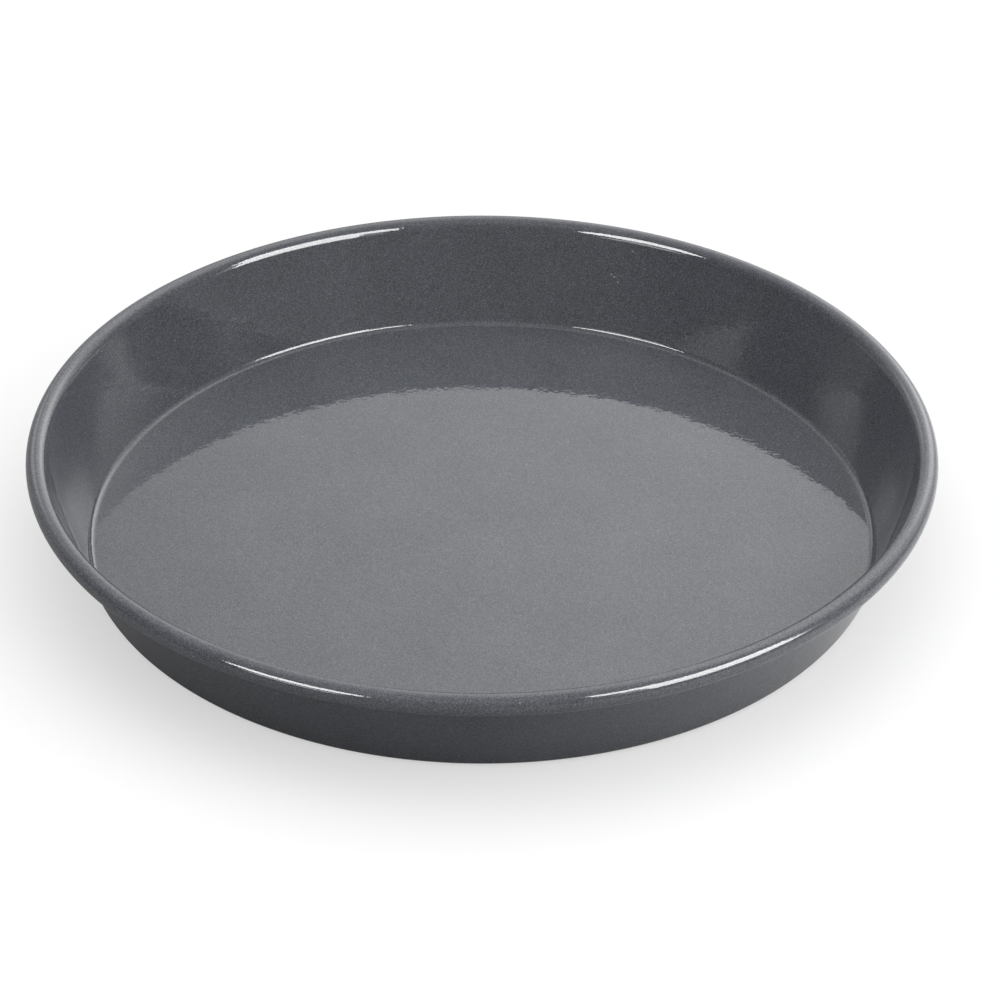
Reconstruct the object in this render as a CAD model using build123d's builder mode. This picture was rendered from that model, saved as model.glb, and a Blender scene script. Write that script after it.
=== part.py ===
from build123d import *
import os
from math import acos, cos, degrees, radians, sin

# A round pie dish drawn from one disc of sheet steel, its rim rolled outwards into a hollow bead,
# and coated all over in fused glass enamel.
# Millimetres and degrees. The dish stands on the plane Z = 0 with its axis on Z.

# Driving sizes
rim_diameter = 270.0        # outside of the rolled rim
overall_height = 34.0       # crest of the rim above the table
side_lean = 19.6            # lean of the side outwards from upright
bead_diameter = 6.3         # across the rolled rim, over its enamel
shoulder_radius = 6.0       # food side of the bend where the side turns over into the bead
shoulder_reach = 55.0       # how far inwards from the crest, round the bead, this bend takes over
corner_radius = 2.2         # food side of the corner between the floor and the side
sheet_thickness = 0.8       # steel
enamel_thickness = 0.2      # glass coat on each side of the steel
lip_slit = 0.3              # left between the rolled lip and the coated side behind it

# Depths under the food-side skin at which the layers meet
steel_top_depth = enamel_thickness
steel_back_depth = steel_top_depth + sheet_thickness
wall_thickness = steel_back_depth + enamel_thickness

# The section lies in the XZ plane. The bead is a circle, and the bend of the shoulder runs into it
# without a step on one side and into the straight side on the other.
bead_radius = bead_diameter / 2
bead_centre = Vector(rim_diameter / 2 - bead_radius, overall_height - bead_radius)
inward = Vector(-sin(radians(shoulder_reach)), cos(radians(shoulder_reach)))
shoulder_centre = bead_centre - inward * (shoulder_radius - bead_radius)
outward = Vector(cos(radians(side_lean)), -sin(radians(side_lean)))
side_reach = shoulder_centre.dot(outward) - shoulder_radius

# The corner's circle touches both the floor and the side
corner_height = wall_thickness + corner_radius
corner_reach = side_reach - corner_radius
corner_centre = Vector((corner_reach - corner_height * outward.Y) / outward.X, corner_height)

# Angles anticlockwise from the X axis, at which the shoulder starts and runs into the bead
shoulder_start = 180 - side_lean
shoulder_end = 90 + shoulder_reach

# How far round the bead the skin and the sheet under it run, from the end of the shoulder.
# The enamel covers the sheet's cut edge, so the sheet stops one coat short of the lip's tip.
bead_to_side = bead_centre.dot(outward) - side_reach
lip_to_side = degrees(acos((bead_to_side - wall_thickness - lip_slit) / bead_radius))
lip_turn = 360 - lip_to_side - shoulder_start + shoulder_end
edge_coat_turn = degrees(enamel_thickness / (bead_radius - (steel_top_depth + steel_back_depth) / 2))
sheet_turn = lip_turn - edge_coat_turn

os.makedirs("parts", exist_ok=True)


def dish_line(depth):
    """Draws the line at one depth under the skin, from the axis to the bead, and returns its ends."""
    floor = Line((0, wall_thickness - depth), (corner_centre.X, wall_thickness - depth))
    corner = CenterArc(corner_centre, corner_radius + depth, -90, 90 - side_lean)
    shoulder_turn = shoulder_end - shoulder_start
    shoulder = CenterArc(shoulder_centre, shoulder_radius - depth, shoulder_start, shoulder_turn)
    Line(corner @ 1, shoulder @ 0)
    return floor @ 0, shoulder @ 1


def bead_line(depth, first_turn, last_turn):
    """Draws a stretch of the bead at one depth, over the crest and down outside, and returns its ends."""
    arc = CenterArc(bead_centre, bead_radius - depth, shoulder_end - first_turn, first_turn - last_turn)
    return arc @ 0, arc @ 1


def layer_outline(upper_depth, lower_depth, bead_turn):
    """Outlines a layer between two depths, from the axis over the bead as far as it is turned."""
    with BuildLine() as outline:
        upper_start, _ = dish_line(upper_depth)
        lower_start, _ = dish_line(lower_depth)
        _, upper_end = bead_line(upper_depth, 0, bead_turn)
        _, lower_end = bead_line(lower_depth, 0, bead_turn)
        Line(upper_start, lower_start)
        Line(upper_end, lower_end)
    return outline.line


def cut_edge_outline():
    """Outlines the coat over the sheet's cut edge at the tip of the lip."""
    with BuildLine() as outline:
        upper_start, upper_end = bead_line(steel_top_depth, sheet_turn, lip_turn)
        lower_start, lower_end = bead_line(steel_back_depth, sheet_turn, lip_turn)
        Line(upper_start, lower_start)
        Line(upper_end, lower_end)
    return outline.line


def underside_outline():
    """Outlines the coat under the floor and behind the side, up through the throat behind the bead."""
    with BuildLine() as outline:
        upper_start, upper_end = dish_line(steel_back_depth)
        lower_start, lower_end = dish_line(wall_thickness)
        Line(upper_start, lower_start)
        Line(upper_end, lower_end)
    return outline.line


# Steel pressing: floor, corner, leaning side, shoulder and the hollow rolled rim in one drawn sheet
with BuildPart() as steel_pressing:
    with BuildSketch(Plane.XZ):
        make_face(layer_outline(steel_top_depth, steel_back_depth, sheet_turn))
    revolve(axis=Axis.Z)
steel_pressing.part.label = "steel_pressing"
export_step(steel_pressing.part, "parts/steel_pressing.step")

# Enamel of the food side: over the floor and side, round the outside of the bead and over its cut edge
with BuildPart() as enamel_inside:
    with BuildSketch(Plane.XZ):
        make_face(layer_outline(0, steel_top_depth, lip_turn))
        make_face(cut_edge_outline())
    revolve(axis=Axis.Z)
enamel_inside.part.label = "enamel_inside"
export_step(enamel_inside.part, "parts/enamel_inside.step")

# Enamel of the underside: the base that the dish stands on and the back of the side
with BuildPart() as enamel_outside:
    with BuildSketch(Plane.XZ):
        make_face(underside_outline())
    revolve(axis=Axis.Z)
enamel_outside.part.label = "enamel_outside"
export_step(enamel_outside.part, "parts/enamel_outside.step")
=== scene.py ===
import bmesh
import bpy
from math import acos, cos, pi, radians, sin
from mathutils import Matrix, Vector


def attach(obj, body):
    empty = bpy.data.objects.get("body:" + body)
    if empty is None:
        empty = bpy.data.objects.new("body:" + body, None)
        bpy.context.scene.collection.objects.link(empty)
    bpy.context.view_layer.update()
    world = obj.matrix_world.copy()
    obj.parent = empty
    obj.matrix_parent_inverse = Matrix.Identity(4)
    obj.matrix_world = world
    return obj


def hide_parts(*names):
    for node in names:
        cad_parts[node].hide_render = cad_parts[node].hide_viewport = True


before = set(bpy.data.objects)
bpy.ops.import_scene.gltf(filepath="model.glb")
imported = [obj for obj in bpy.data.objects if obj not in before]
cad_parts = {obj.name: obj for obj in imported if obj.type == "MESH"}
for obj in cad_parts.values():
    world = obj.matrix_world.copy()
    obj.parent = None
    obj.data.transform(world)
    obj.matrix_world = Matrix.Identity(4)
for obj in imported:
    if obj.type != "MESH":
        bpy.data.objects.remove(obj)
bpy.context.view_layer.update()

# The steel pressing: one disc of sheet steel, drawn into a floor and a leaning side, its rim rolled
# outwards into a hollow bead. It is bare metal under the glass, and shows only inside the bead.
rim_diameter = 0.2700
overall_height = 0.0340
side_lean = radians(19.6)
bead_radius = 0.00315
shoulder_radius = 0.0060
shoulder_reach = radians(55.0)
corner_radius = 0.0022
sheet_thickness = 0.0008
coat_thickness = 0.0002
wall_thickness = sheet_thickness + 2 * coat_thickness
lip_slit = 0.0003

# steps of each arc, rings across the floor, and steps round the dish
shoulder_steps = 16
corner_steps = 14
floor_rings = 7
pressing_bead_steps = 60
pressing_steps = 256

# the little plane that a section starts from, before it is merged to one point
seed_size = 0.001
# how near two places count as one: to pick a point, to pick the floor, and to weld a seam
pick_reach = 0.00002
floor_reach = 0.000001
weld_reach = 0.000005
# edges flatter than this are shaded smooth
smooth_below = radians(40.0)

# outward is square to the side, and inward leads from the bead's centre to where the shoulder ends
bead_centre = Vector((rim_diameter / 2 - bead_radius, 0.0, overall_height - bead_radius))
outward = Vector((cos(side_lean), 0.0, -sin(side_lean)))
inward = Vector((-sin(shoulder_reach), 0.0, cos(shoulder_reach)))
shoulder_centre = bead_centre - inward * (shoulder_radius - bead_radius)
shoulder_turn = pi / 2 - side_lean - shoulder_reach
side_reach = shoulder_centre.dot(outward) - shoulder_radius
corner_height = wall_thickness + corner_radius
corner_reach = side_reach - corner_radius
corner_centre = Vector(((corner_reach - corner_height * outward.z) / outward.x, 0.0, corner_height))
corner_turn = pi / 2 - side_lean
# the roll stops a slit away from the side, and the sheet a coat's thickness before it
back_of_side = side_reach + wall_thickness
lip_to_side = acos((bead_centre.dot(outward) - back_of_side - lip_slit) / bead_radius)
lip_turn = 2 * pi - lip_to_side - shoulder_turn
sheet_turn = lip_turn - coat_thickness / (bead_radius - coat_thickness - sheet_thickness / 2)


def pick_vertices(piece, wanted):
    """Selects the vertices, and what lies between them, whose place passes the test."""
    bpy.ops.mesh.select_all(action="DESELECT")
    shape = bmesh.from_edit_mesh(piece.data)
    for vertex in shape.verts:
        if wanted(vertex.co):
            vertex.select_set(True)
    shape.select_flush(True)
    bmesh.update_edit_mesh(piece.data)


def at(point):
    """The test for a vertex at one place."""
    return lambda place: (place - point).length < pick_reach


def pull(start, end):
    """Extrudes the picked vertex of a section in a straight line."""
    bpy.ops.mesh.extrude_vertices_move(TRANSFORM_OT_translate={"value": end - start})


def roll(centre, turn, steps):
    """Carries the picked vertex of a section round an arc, over the top towards the outside."""
    bpy.ops.mesh.spin(steps=steps, angle=turn, center=centre, axis=(0.0, -1.0, 0.0))


def draw_section(name, depth, bead_turn=0.0, bead_steps=0):
    """Draws one skin of the dish as a line that lies at a depth under the food side: from the side's
    top over the shoulder and round the bead, and down the side, round the corner to the axis."""
    touch = shoulder_centre - outward * (shoulder_radius - depth)
    bpy.ops.object.select_all(action="DESELECT")
    bpy.ops.mesh.primitive_plane_add(size=seed_size, location=touch)
    piece = bpy.context.active_object
    piece.name = name
    bpy.ops.object.transform_apply(location=True, rotation=True, scale=True)
    bpy.ops.object.mode_set(mode="EDIT")
    bpy.ops.mesh.select_all(action="SELECT")
    bpy.ops.mesh.merge(type="CENTER")
    roll(shoulder_centre, shoulder_turn, shoulder_steps)
    if bead_turn:
        roll(bead_centre, bead_turn, bead_steps)
    pick_vertices(piece, at(touch))
    side_foot = corner_centre + outward * (corner_radius + depth)
    pull(touch, side_foot)
    roll(corner_centre, corner_turn, corner_steps)
    floor_height = wall_thickness - depth
    pull(Vector((corner_centre.x, 0.0, floor_height)), Vector((0.0, 0.0, floor_height)))
    pick_vertices(piece, lambda place: place.z < floor_height + floor_reach)
    bpy.ops.mesh.subdivide(number_cuts=floor_rings)
    return piece


def turn_section(piece, steps, facing):
    """Spins the section once round the axis, closes the seam and the pole, and turns the faces of
    its floor up for a facing of 1 or down for -1."""
    bpy.ops.mesh.select_all(action="SELECT")
    bpy.ops.mesh.spin(steps=steps, angle=2 * pi, center=(0.0, 0.0, 0.0), axis=(0.0, 0.0, 1.0))
    bpy.ops.mesh.select_all(action="SELECT")
    bpy.ops.mesh.remove_doubles(threshold=weld_reach)
    bpy.ops.mesh.select_all(action="SELECT")
    bpy.ops.mesh.normals_make_consistent(inside=False)
    shape = bmesh.from_edit_mesh(piece.data)
    middle = min(shape.faces, key=lambda face: face.calc_center_median().xy.length)
    if middle.normal.z * facing < 0:
        bpy.ops.mesh.flip_normals()
    bpy.ops.object.mode_set(mode="OBJECT")


def thicken(piece, thickness):
    """Gives the spun skin its thickness behind the face that was spun, and smooths its shading."""
    wall = piece.modifiers.new("wall", "SOLIDIFY")
    wall.thickness = thickness
    wall.offset = -1.0
    wall.use_even_offset = True
    bpy.ops.object.modifier_apply(modifier=wall.name)
    bpy.ops.object.shade_smooth_by_angle(angle=smooth_below)


pressing = draw_section("drawn_steel_pressing", coat_thickness, sheet_turn, pressing_bead_steps)
turn_section(pressing, pressing_steps, facing=1)
thicken(pressing, sheet_thickness)

# bare sheet with patches of thin mill scale, and fine marks from the drawing tools
scale_colour = (0.17, 0.16, 0.15, 1.0)
bare_colour = (0.43, 0.43, 0.44, 1.0)
scale_below = 0.35
bare_above = 0.68
patches_per_metre = 190.0
marks_per_metre = 5200.0
mark_depth = 0.000004
least_dull = 0.32
most_dull = 0.58

steel = bpy.data.materials.new("drawn_sheet_steel")
steel.use_nodes = True
steel_nodes = steel.node_tree.nodes
steel_links = steel.node_tree.links
steel_shader = steel_nodes["Principled BSDF"]
steel_place = steel_nodes.new("ShaderNodeTexCoord")

# the marks run round the dish, so their noise reads only the height and the distance from the axis
steel_split = steel_nodes.new("ShaderNodeSeparateXYZ")
steel_links.new(steel_place.outputs["Object"], steel_split.inputs[0])
steel_flat = steel_nodes.new("ShaderNodeCombineXYZ")
steel_links.new(steel_split.outputs["X"], steel_flat.inputs["X"])
steel_links.new(steel_split.outputs["Y"], steel_flat.inputs["Y"])
steel_radius = steel_nodes.new("ShaderNodeVectorMath")
steel_radius.operation = "LENGTH"
steel_links.new(steel_flat.outputs[0], steel_radius.inputs[0])
steel_meridian = steel_nodes.new("ShaderNodeCombineXYZ")
steel_links.new(steel_radius.outputs["Value"], steel_meridian.inputs["X"])
steel_links.new(steel_split.outputs["Z"], steel_meridian.inputs["Z"])
steel_marks = steel_nodes.new("ShaderNodeTexNoise")
steel_marks.inputs["Scale"].default_value = marks_per_metre
steel_marks.inputs["Detail"].default_value = 4.0
steel_links.new(steel_meridian.outputs[0], steel_marks.inputs["Vector"])
steel_scale = steel_nodes.new("ShaderNodeTexNoise")
steel_scale.inputs["Scale"].default_value = patches_per_metre
steel_scale.inputs["Detail"].default_value = 6.0
steel_links.new(steel_place.outputs["Object"], steel_scale.inputs["Vector"])

steel_tone = steel_nodes.new("ShaderNodeValToRGB")
steel_tone.color_ramp.elements[0].position = scale_below
steel_tone.color_ramp.elements[0].color = scale_colour
steel_tone.color_ramp.elements[1].position = bare_above
steel_tone.color_ramp.elements[1].color = bare_colour
steel_links.new(steel_scale.outputs["Fac"], steel_tone.inputs["Fac"])
steel_links.new(steel_tone.outputs["Color"], steel_shader.inputs["Base Color"])
steel_polish = steel_nodes.new("ShaderNodeMapRange")
steel_polish.inputs["To Min"].default_value = least_dull
steel_polish.inputs["To Max"].default_value = most_dull
steel_links.new(steel_marks.outputs["Fac"], steel_polish.inputs["Value"])
steel_links.new(steel_polish.outputs["Result"], steel_shader.inputs["Roughness"])
steel_relief = steel_nodes.new("ShaderNodeBump")
steel_relief.inputs["Strength"].default_value = 1.0
steel_relief.inputs["Distance"].default_value = mark_depth
steel_links.new(steel_marks.outputs["Fac"], steel_relief.inputs["Height"])
steel_links.new(steel_relief.outputs["Normal"], steel_shader.inputs["Normal"])
steel_shader.inputs["Metallic"].default_value = 1.0

pressing.data.materials.append(steel)
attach(pressing, "root")
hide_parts("steel_pressing")

# The coat of the food side: grey speckled glass, fused to the steel in the kiln. It lies over the
# floor and the side, goes over the rolled rim and draws back to a round edge round the lip's tip.

# finer steps than the steel's, because the gloss shows every facet
coat_bead_steps = 96
coat_steps = 320
# how far the glass draws back where it rounds off at the lip's tip
drawn_back = 0.00024
drawn_back_steps = 5

food_side = draw_section("speckled_coat_of_food_side", 0.0, lip_turn, coat_bead_steps)
lip_angle = pi / 2 + shoulder_reach - lip_turn
lip_direction = Vector((cos(lip_angle), 0.0, sin(lip_angle)))
lip_tip = bead_centre + lip_direction * bead_radius
# turned in over the sheet's cut edge
pick_vertices(food_side, at(lip_tip))
pull(lip_tip, lip_tip - lip_direction * (coat_thickness + sheet_thickness))
# rounded where the glass draws back from the edge
pick_vertices(food_side, at(lip_tip))
bpy.ops.mesh.bevel(
    offset=drawn_back,
    segments=drawn_back_steps,
    profile=0.5,
    affect="VERTICES",
    clamp_overlap=False,
)
turn_section(food_side, coat_steps, facing=1)
thicken(food_side, coat_thickness)

# Speckle, mottling and orange peel are the same glass on both sides, with each side's own amounts.
glass = bpy.data.node_groups.new("speckled_glass", "ShaderNodeTree")
for name, side, kind in (
    ("Ground", "INPUT", "NodeSocketColor"),
    ("Mottle", "INPUT", "NodeSocketFloat"),
    ("Flecks", "INPUT", "NodeSocketFloat"),
    ("Stars", "INPUT", "NodeSocketFloat"),
    ("Gloss", "INPUT", "NodeSocketFloat"),
    ("Peel", "INPUT", "NodeSocketFloat"),
    ("Color", "OUTPUT", "NodeSocketColor"),
    ("Roughness", "OUTPUT", "NodeSocketFloat"),
    ("Height", "OUTPUT", "NodeSocketFloat"),
):
    glass.interface.new_socket(name, in_out=side, socket_type=kind)
given = glass.nodes.new("NodeGroupInput")
shown = glass.nodes.new("NodeGroupOutput")
place = glass.nodes.new("ShaderNodeTexCoord")


def grain(size, detail):
    """Noise in the glass whose grains are about one size across, in metres."""
    noise = glass.nodes.new("ShaderNodeTexNoise")
    noise.inputs["Scale"].default_value = 1 / size
    noise.inputs["Detail"].default_value = detail
    glass.links.new(place.outputs["Object"], noise.inputs["Vector"])
    return noise.outputs["Fac"]


def reckon(operation, first, second=None, third=None, clamp=False):
    """One sum in the glass group, on sockets or numbers."""
    node = glass.nodes.new("ShaderNodeMath")
    node.operation = operation
    node.use_clamp = clamp
    for index, value in enumerate((first, second, third)):
        if value is None:
            continue
        if isinstance(value, (int, float)):
            node.inputs[index].default_value = value
        else:
            glass.links.new(value, node.inputs[index])
    return node.outputs["Value"]


# how steeply a speck rises from its edge, and how softly it flattens in its middle
speck_rise = 2.2
speck_rounding = 0.3
# the grains' tones are raised to a power, so that few of them are pale
salt_power = 2.0


def specks(spacing, share, smallest, largest):
    """Scattered specks: one chance for each cell of the spacing, kept by the share."""
    cells = glass.nodes.new("ShaderNodeTexVoronoi")
    cells.feature = "F1"
    cells.inputs["Scale"].default_value = 1 / spacing
    glass.links.new(place.outputs["Object"], cells.inputs["Vector"])
    chance = glass.nodes.new("ShaderNodeSeparateColor")
    glass.links.new(cells.outputs["Color"], chance.inputs["Color"])
    kept = reckon("LESS_THAN", chance.outputs["Red"], share)
    growth = (largest - smallest) / spacing
    spread = reckon("MULTIPLY_ADD", chance.outputs["Green"], growth, smallest / spacing)
    near = reckon("DIVIDE", cells.outputs["Distance"], spread)
    soft = reckon("SUBTRACT", 1.0, near, clamp=True)
    round_speck = reckon("SMOOTH_MIN", reckon("MULTIPLY", soft, speck_rise), 1.0, speck_rounding)
    return reckon("MULTIPLY", reckon("MULTIPLY", round_speck, kept), chance.outputs["Blue"])


def salt(size):
    """The finest speckle: touching grains of about one size, each with its own tone."""
    cells = glass.nodes.new("ShaderNodeTexVoronoi")
    cells.feature = "F1"
    cells.inputs["Scale"].default_value = 1 / size
    glass.links.new(place.outputs["Object"], cells.inputs["Vector"])
    chance = glass.nodes.new("ShaderNodeSeparateColor")
    glass.links.new(cells.outputs["Color"], chance.inputs["Color"])
    return reckon("POWER", chance.outputs["Red"], salt_power)


# the tone: fine salt and slow clouds, each about its own mean, and pale specks of two sizes
salt_mean = 0.333
cloud_mean = 0.5
cloud_share = 0.35
fine = salt(size=0.00020)
cloud = grain(size=0.030, detail=3.0)
clouding = reckon("MULTIPLY", reckon("SUBTRACT", cloud, cloud_mean), cloud_share)
mottle = reckon("ADD", reckon("SUBTRACT", fine, salt_mean), clouding)
tone = reckon("MULTIPLY_ADD", mottle, given.outputs["Mottle"], 1.0)
flecks = specks(spacing=0.0022, share=0.50, smallest=0.00010, largest=0.00022)
stars = specks(spacing=0.0070, share=0.50, smallest=0.00014, largest=0.00026)
tone = reckon("MULTIPLY_ADD", flecks, given.outputs["Flecks"], tone)
tone = reckon("MULTIPLY_ADD", stars, given.outputs["Stars"], tone)
toned = glass.nodes.new("ShaderNodeVectorMath")
toned.operation = "SCALE"
glass.links.new(given.outputs["Ground"], toned.inputs[0])
glass.links.new(tone, toned.inputs["Scale"])
glass.links.new(toned.outputs["Vector"], shown.inputs["Color"])
# the polish: the side's own gloss, smeared unevenly and dulled a little by the salt
smear_mean = 0.45
smear_amount = 0.06
salt_dulling = 0.012
least_roughness = 0.03
smear = reckon("SUBTRACT", grain(size=0.012, detail=4.0), smear_mean)
dull = reckon("MULTIPLY_ADD", smear, smear_amount, given.outputs["Gloss"])
dull = reckon("MULTIPLY_ADD", fine, salt_dulling, dull)
glass.links.new(reckon("MAXIMUM", dull, least_roughness), shown.inputs["Roughness"])
# the orange peel: a main wave in the glass, and three more with their shares of its height
peel = grain(size=0.0040, detail=0.0)
for wave_size, wave_share in ((0.0017, 0.75), (0.0009, 0.45), (0.012, 1.5)):
    peel = reckon("MULTIPLY_ADD", grain(size=wave_size, detail=0.0), wave_share, peel)
glass.links.new(reckon("MULTIPLY", peel, given.outputs["Peel"]), shown.inputs["Height"])

# the peel's depth at an amount of 1, and what a second reflection adds to the roughness
peel_depth = 0.000008
second_softness = 0.15


def enamel_material(name, ground, mottle_amount, fleck_amount, star_amount, gloss, peel_amount):
    """Glass enamel of one side, from the shared group and that side's amounts."""
    material = bpy.data.materials.new(name)
    material.use_nodes = True
    nodes = material.node_tree.nodes
    links = material.node_tree.links
    shader = nodes["Principled BSDF"]
    speckle = nodes.new("ShaderNodeGroup")
    speckle.node_tree = glass
    speckle.inputs["Ground"].default_value = (*ground, 1.0)
    speckle.inputs["Mottle"].default_value = mottle_amount
    speckle.inputs["Flecks"].default_value = fleck_amount
    speckle.inputs["Stars"].default_value = star_amount
    speckle.inputs["Gloss"].default_value = gloss
    speckle.inputs["Peel"].default_value = peel_amount
    relief = nodes.new("ShaderNodeBump")
    relief.inputs["Strength"].default_value = 1.0
    relief.inputs["Distance"].default_value = peel_depth
    links.new(speckle.outputs["Height"], relief.inputs["Height"])
    links.new(speckle.outputs["Color"], shader.inputs["Base Color"])
    # what one part of the dish shows of another is softer than what it shows of the room
    seen_by = nodes.new("ShaderNodeLightPath")
    second_gloss = nodes.new("ShaderNodeMath")
    second_gloss.operation = "MULTIPLY_ADD"
    second_gloss.inputs[1].default_value = second_softness
    links.new(seen_by.outputs["Is Glossy Ray"], second_gloss.inputs[0])
    links.new(speckle.outputs["Roughness"], second_gloss.inputs[2])
    links.new(second_gloss.outputs["Value"], shader.inputs["Roughness"])
    links.new(relief.outputs["Normal"], shader.inputs["Normal"])
    shader.inputs["IOR"].default_value = 1.5
    shader.inputs["Specular IOR Level"].default_value = 0.5
    return material


food_side.data.materials.append(enamel_material(
    "speckled_enamel_food_side",
    ground=(0.083, 0.0875, 0.0995),
    mottle_amount=1.10,
    fleck_amount=3.0,
    star_amount=4.0,
    gloss=0.03,
    peel_amount=2.4,
))
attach(food_side, "root")
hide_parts("enamel_inside")

# The coat of the underside: the same glass, a little plainer and duller than on the food side. It
# covers the base that the dish rests on and runs up the back of the side into the bead's throat.
underside = draw_section("speckled_coat_of_underside", wall_thickness)
turn_section(underside, coat_steps, facing=-1)
thicken(underside, coat_thickness)

underside.data.materials.append(enamel_material(
    "speckled_enamel_underside",
    ground=(0.088, 0.0925, 0.105),
    mottle_amount=0.80,
    fleck_amount=2.0,
    star_amount=3.0,
    gloss=0.05,
    peel_amount=2.4,
))
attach(underside, "root")
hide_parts("enamel_outside")

# The table: a plain pale surface that the dish stands on and that keeps its shadow.
# It isn't part of the dish, and it reaches past the picture's edges in the photo's view.
table_radius = 6.0
table_edge_steps = 96
table_colour = (0.84, 0.84, 0.84, 1.0)
even_white_share = 0.5
# painted shade at the left and painted light at the right, in the table colour that the dish sees in
# place of its own white
painted_shade_at_left = 0.37
painted_light_at_right = 1.0
painted_light_rise_reach = 0.16

bpy.ops.object.select_all(action="DESELECT")
bpy.ops.mesh.primitive_circle_add(vertices=table_edge_steps, radius=table_radius, fill_type="NGON")
table = bpy.context.active_object
table.name = "table"
table_paint = bpy.data.materials.new("matt_white_table")
table_paint.use_nodes = True
table_nodes = table_paint.node_tree.nodes
table_links = table_paint.node_tree.links
table_shader = table_nodes["Principled BSDF"]
table_shader.inputs["Base Color"].default_value = table_colour
table_shader.inputs["Roughness"].default_value = 0.9
table_shader.inputs["Specular IOR Level"].default_value = 0.1
# the camera sees half of it as even white, so the dish's shadow stays light
table_white = table_nodes.new("ShaderNodeEmission")
table_seen = table_nodes.new("ShaderNodeMixShader")
table_seen.inputs["Fac"].default_value = even_white_share
table_links.new(table_shader.outputs["BSDF"], table_seen.inputs[1])
table_links.new(table_white.outputs["Emission"], table_seen.inputs[2])
# the dish is lit from below by a table colour with painted shade and painted light in it: darker
# than the table's own white from the axis to the left, and growing lighter from the axis to the
# right
table_painted_bounce = table_nodes.new("ShaderNodeBsdfDiffuse")
table_place = table_nodes.new("ShaderNodeTexCoord")
table_split = table_nodes.new("ShaderNodeSeparateXYZ")
table_painted_gradient = table_nodes.new("ShaderNodeMapRange")
table_painted_gradient.inputs["From Min"].default_value = 0.0
table_painted_gradient.inputs["From Max"].default_value = painted_light_rise_reach
table_painted_gradient.inputs["To Min"].default_value = painted_shade_at_left
table_painted_gradient.inputs["To Max"].default_value = painted_light_at_right
table_links.new(table_place.outputs["Object"], table_split.inputs[0])
table_links.new(table_split.outputs["X"], table_painted_gradient.inputs["Value"])
table_links.new(table_painted_gradient.outputs["Result"], table_painted_bounce.inputs["Color"])
table_ray = table_nodes.new("ShaderNodeLightPath")
table_choice = table_nodes.new("ShaderNodeMixShader")
table_links.new(table_ray.outputs["Is Camera Ray"], table_choice.inputs["Fac"])
table_links.new(table_painted_bounce.outputs["BSDF"], table_choice.inputs[1])
table_links.new(table_seen.outputs["Shader"], table_choice.inputs[2])
table_links.new(table_choice.outputs["Shader"], table_nodes["Material Output"].inputs["Surface"])
table.data.materials.append(table_paint)

# The room: a pale studio, lighter behind the dish and to the right and darker to the left.
# The camera sees it as plain white, and the dish's gloss shows its light and dark sides.
world = bpy.data.worlds.new("pale_studio")
bpy.context.scene.world = world
world.use_nodes = True
room = world.node_tree
room.nodes.clear()
room_shown = room.nodes.new("ShaderNodeOutputWorld")
ray = room.nodes.new("ShaderNodeLightPath")
direction = room.nodes.new("ShaderNodeTexCoord")


def sky_direction(azimuth, elevation):
    """The unit vector to a place in the room: azimuth 0 is behind the dish, 90 is to the right."""
    turn, rise = radians(azimuth), radians(elevation)
    return Vector((sin(turn) * cos(rise), cos(turn) * cos(rise), sin(rise)))


def room_patch(azimuth, elevation, width, level):
    """A soft patch of light in the room, as wide as the angle, and its level at its middle."""
    facing = room.nodes.new("ShaderNodeVectorMath")
    facing.operation = "DOT_PRODUCT"
    room.links.new(direction.outputs["Generated"], facing.inputs[0])
    facing.inputs[1].default_value = sky_direction(azimuth, elevation)
    fade = room.nodes.new("ShaderNodeMapRange")
    fade.interpolation_type = "SMOOTHERSTEP"
    fade.inputs["From Min"].default_value = cos(radians(width))
    fade.inputs["From Max"].default_value = 1.0
    fade.inputs["To Min"].default_value = 0.0
    fade.inputs["To Max"].default_value = level
    room.links.new(facing.outputs["Value"], fade.inputs["Value"])
    return fade.outputs["Result"]


def add_up(patches, base):
    """The sum of soft patches over an even base."""
    total = base
    for patch in patches:
        adding = room.nodes.new("ShaderNodeMath")
        adding.operation = "ADD"
        room.links.new(patch, adding.inputs[0])
        if isinstance(total, float):
            adding.inputs[1].default_value = total
        else:
            room.links.new(total, adding.inputs[1])
        total = adding.outputs["Value"]
    return total


def choose(ray_kind, otherwise, value):
    """One strength for one kind of ray, and another for the rest."""
    mix = room.nodes.new("ShaderNodeMix")
    room.links.new(ray.outputs[ray_kind], mix.inputs["Factor"])
    room.links.new(otherwise, mix.inputs["A"])
    if isinstance(value, float):
        mix.inputs["B"].default_value = value
    else:
        room.links.new(value, mix.inputs["B"])
    return mix.outputs["Result"]


# each patch is given by its azimuth, elevation, width and level
light_level = add_up([
    room_patch(0, 90, 90, 1.28),
    room_patch(20, 50, 70, 0.44),
    room_patch(100, 10, 60, 0.40),
], base=0.056)
shine_level = add_up([
    room_patch(0, 90, 60, 0.40),
    room_patch(31, 32, 42, 1.28),
    room_patch(27, 25, 17, 1.28),
    room_patch(-29, 26, 12, 0.72),
    room_patch(4, 42, 55, 0.72),
    room_patch(35, 6, 40, 0.36),
    room_patch(-40, 12, 40, 0.32),
    room_patch(105, 12, 60, 0.32),
    room_patch(180, 35, 60, 0.27),
], base=0.112)
level_in_room = choose("Is Glossy Ray", light_level, shine_level)
# to the camera a strength of 1 is white
strength = choose("Is Camera Ray", level_in_room, 1.0)
light_of_room = room.nodes.new("ShaderNodeBackground")
light_of_room.inputs["Color"].default_value = (1.0, 1.0, 1.0, 1.0)
room.links.new(strength, light_of_room.inputs["Strength"])
room.links.new(light_of_room.outputs["Background"], room_shown.inputs["Surface"])

# The lamps: soft boxes far at the left and near at the right of the dish. On each side a weak lamp
# lights the dish and the table, and bright faces show only in the gloss.


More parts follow.
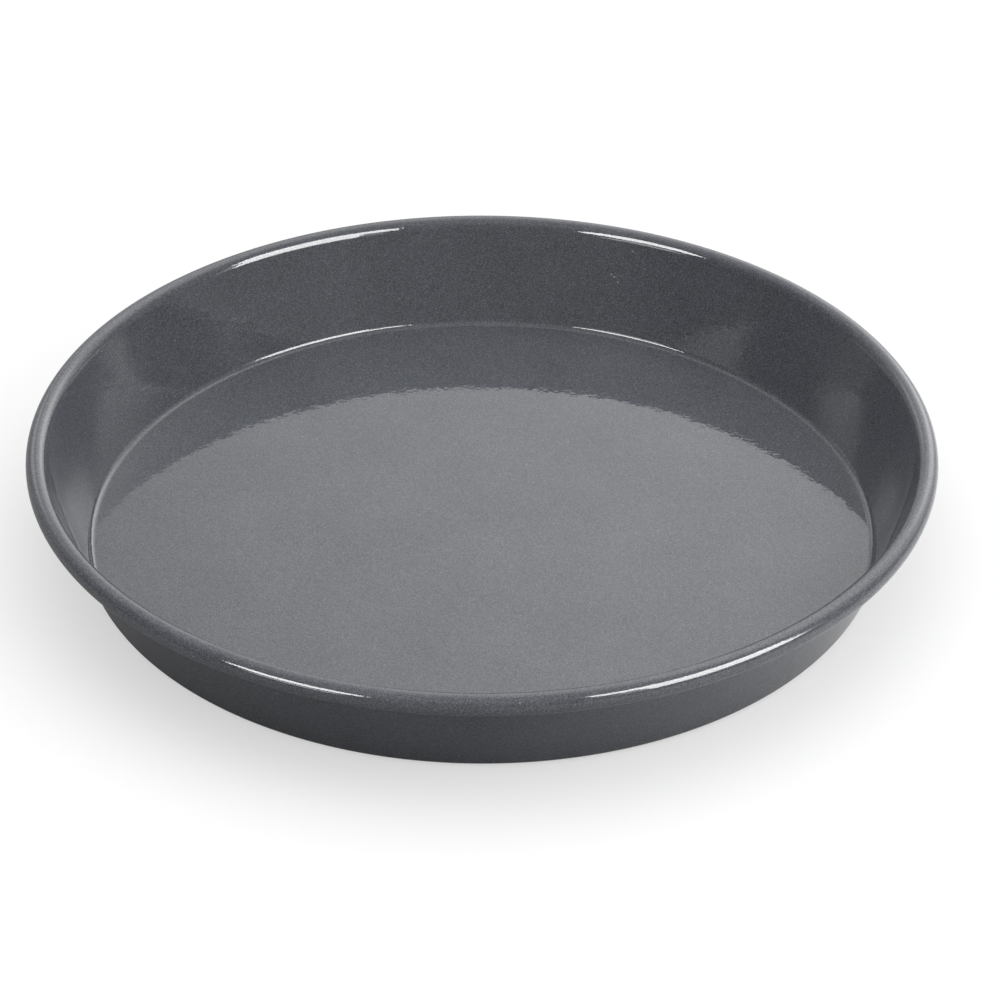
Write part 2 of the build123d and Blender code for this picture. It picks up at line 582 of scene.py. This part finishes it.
def soft_box(name, azimuth, reach, height, aim, width, tall, level, shape, only_in_gloss=False):
    """A soft lamp at a reach from the dish's axis and a height over the table, whose face shows the
    level. It faces the axis at the height of its aim."""
    lamp = bpy.data.lights.new(name, "AREA")
    lamp.shape = shape
    lamp.size = width
    lamp.size_y = tall
    face_area = width * tall * (pi / 4 if shape == "ELLIPSE" else 1)
    lamp.energy = level * pi * face_area
    lamp_object = bpy.data.objects.new(name, lamp)
    bpy.context.scene.collection.objects.link(lamp_object)
    lamp_object.location = sky_direction(azimuth, 0) * reach + Vector((0.0, 0.0, height))
    facing = lamp_object.location - Vector((0.0, 0.0, aim))
    lamp_object.rotation_euler = facing.to_track_quat("Z", "Y").to_euler()
    lamp_object.visible_camera = False
    lamp_object.visible_diffuse = not only_in_gloss


# far at the left: a tapered lamp over a lower, dimmer one, with a dark bar between them
soft_box(
    "left_lamp", azimuth=-134.5, reach=2.57, height=1.57, aim=0.0,
    width=1.70, tall=0.88, level=0.6, shape="ELLIPSE",
)
soft_box(
    "left_lamp_face", azimuth=-134.5, reach=2.56, height=1.56, aim=0.0,
    width=1.70, tall=0.88, level=17.0, shape="ELLIPSE", only_in_gloss=True,
)
soft_box(
    "left_low_lamp_face", azimuth=-137, reach=2.88, height=0.76, aim=0.0,
    width=1.30, tall=0.36, level=6.5, shape="ELLIPSE", only_in_gloss=True,
)
# near at the right: an upright lamp beside the dish, whose lower corner is cut off
soft_box(
    "right_lamp", azimuth=126, reach=0.63, height=0.50, aim=0.50,
    width=0.60, tall=0.50, level=2.0, shape="RECTANGLE",
)
soft_box(
    "right_lamp_low_face", azimuth=124.8, reach=0.62, height=0.36, aim=0.36,
    width=0.44, tall=0.22, level=14.5, shape="RECTANGLE", only_in_gloss=True,
)
soft_box(
    "right_lamp_top_face", azimuth=127.8, reach=0.62, height=0.61, aim=0.61,
    width=0.62, tall=0.28, level=15.5, shape="RECTANGLE", only_in_gloss=True,
)

# The camera: a long lens that stands straight in front of the dish and looks down on it at 33
# degrees. It is turned to the right and rolled by under half a degree, as in the photo.
camera_place = (0.0, -0.85504, 0.57221)
camera_turn = radians(0.3559)
camera_dip = radians(33.3687)
camera_roll = radians(0.3010)
farthest_seen = 50.0
# in millimetres
film_width = 36.0
lens_length = 122.4

camera_data = bpy.data.cameras.new("camera")
camera_data.sensor_width = film_width
camera_data.lens = lens_length
camera_data.clip_end = farthest_seen
camera = bpy.data.objects.new("camera", camera_data)
bpy.context.scene.collection.objects.link(camera)
camera.matrix_world = (
    Matrix.Translation(camera_place)
    @ Matrix.Rotation(-camera_turn, 4, "Z")
    @ Matrix.Rotation(pi / 2 - camera_dip, 4, "X")
    @ Matrix.Rotation(camera_roll, 4, "Z")
)
bpy.context.scene.camera = camera
bpy.context.scene.view_settings.view_transform = "Standard"
